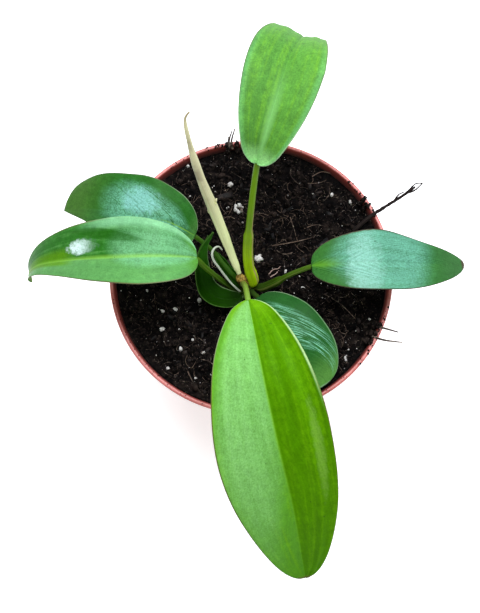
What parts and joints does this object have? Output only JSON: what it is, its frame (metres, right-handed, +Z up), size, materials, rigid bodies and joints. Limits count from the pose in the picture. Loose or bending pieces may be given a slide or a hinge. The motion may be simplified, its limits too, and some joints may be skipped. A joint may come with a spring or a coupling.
{
  "type": "potted lelano miyano philodendron",
  "caption": "Young narrow-leaved philodendron in a round terracotta-coloured plastic nursery pot of dark peat mix, with arching oblong leaves and a rolled cream bract.",
  "frame": {"origin": "centre of the pot's underside, on the surface that it stands on", "axes": "+Z up the pot's axis; +Y away from the viewer, towards the upright arching leaf; the longest leaf points to -Y"},
  "size_m": [0.1837, 0.2149, 0.1713],
  "materials": {
    "pot_plastic": "satin, dulled by handling",
    "peat": "matt, crumbly",
    "stem_bark": "matt, ringed",
    "young_leaf": "waxy satin",
    "upright_leaf": "waxy satin",
    "sheen_leaf": "waxy, bluish sheen",
    "glossy_leaf": "waxy, glossy",
    "dark_leaf": "waxy satin",
    "shaded_leaf": "waxy satin",
    "curled_leaf": "waxy satin",
    "dry_bract": "papery",
    "bark": "matt, fibrous"
  },
  "bodies": {
    "root": {"pot": "pot_plastic", "soil": "peat", "stem": "stem_bark", "leaf_south": "young_leaf", "leaf_north": "upright_leaf", "leaf_east": "sheen_leaf", "leaf_west": "glossy_leaf", "leaf_northwest": "dark_leaf", "leaf_southeast": "shaded_leaf", "leaf_southwest": "curled_leaf", "dry_sheath": "dry_bract", "bark_strip": "bark"}
  },
  "joints": []
}
